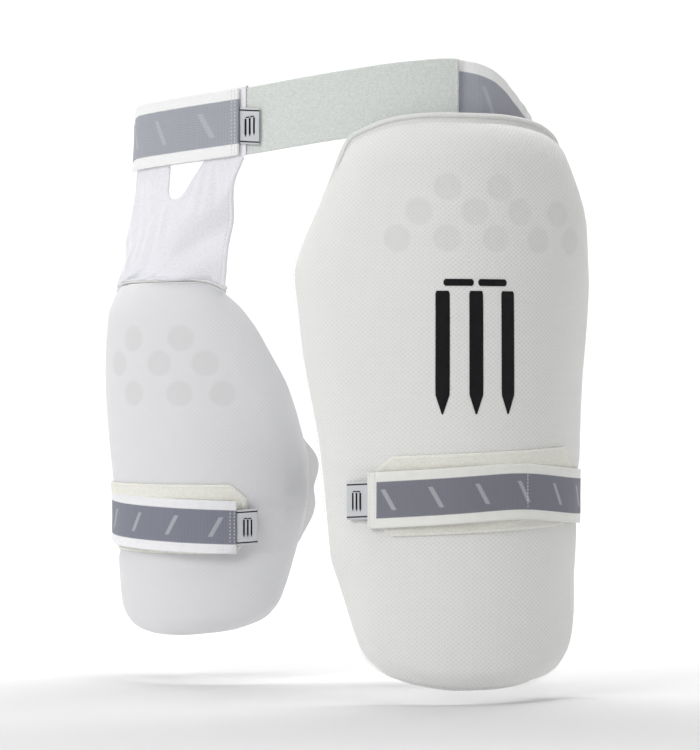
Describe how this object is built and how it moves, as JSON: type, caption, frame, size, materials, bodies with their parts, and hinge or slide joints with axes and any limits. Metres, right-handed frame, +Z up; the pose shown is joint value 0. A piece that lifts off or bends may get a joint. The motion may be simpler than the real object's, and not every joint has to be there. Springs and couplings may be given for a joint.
{
  "type": "cricket thigh guard",
  "caption": "Combination cricket thigh guard: a large outer and a small inner moulded thigh pad with elastic leg straps, hung on one waist belt.",
  "frame": {"origin": "middle of the waist loop at the belt's mid-height", "axes": "+X to the wearer's left, +Y to the wearer's back, +Z up; the outer pad is on the left thigh"},
  "size_m": [0.3961, 0.2216, 0.4693],
  "materials": {
    "white_mesh": "matte",
    "lining_cloth": "matte",
    "white_cloth": "matte",
    "loop_pile": "matte",
    "woven_elastic": "matte",
    "hook_tape": "matte",
    "label_cloth": "matte",
    "belt_pile": "matte"
  },
  "bodies": {
    "root": {"thigh_pad_shell": "white_mesh", "thigh_pad_backing": "lining_cloth", "thigh_pad_binding": "white_cloth", "thigh_loop_patch": "loop_pile", "thigh_strap": "woven_elastic", "thigh_strap_hook_tape": "hook_tape", "thigh_strap_label": "label_cloth", "inner_pad_shell": "white_mesh", "inner_pad_backing": "lining_cloth", "inner_pad_piping": "white_cloth", "inner_loop_patch": "loop_pile", "inner_strap": "woven_elastic", "inner_strap_hook_tape": "hook_tape", "inner_strap_label": "label_cloth", "hanger_flap": "white_cloth", "hanger_sleeve_left": "white_cloth", "hanger_sleeve_right": "white_cloth", "belt_loop_panel": "belt_pile", "belt_elastic": "woven_elastic", "belt_hook_tape": "hook_tape", "belt_label": "label_cloth"}
  },
  "joints": []
}
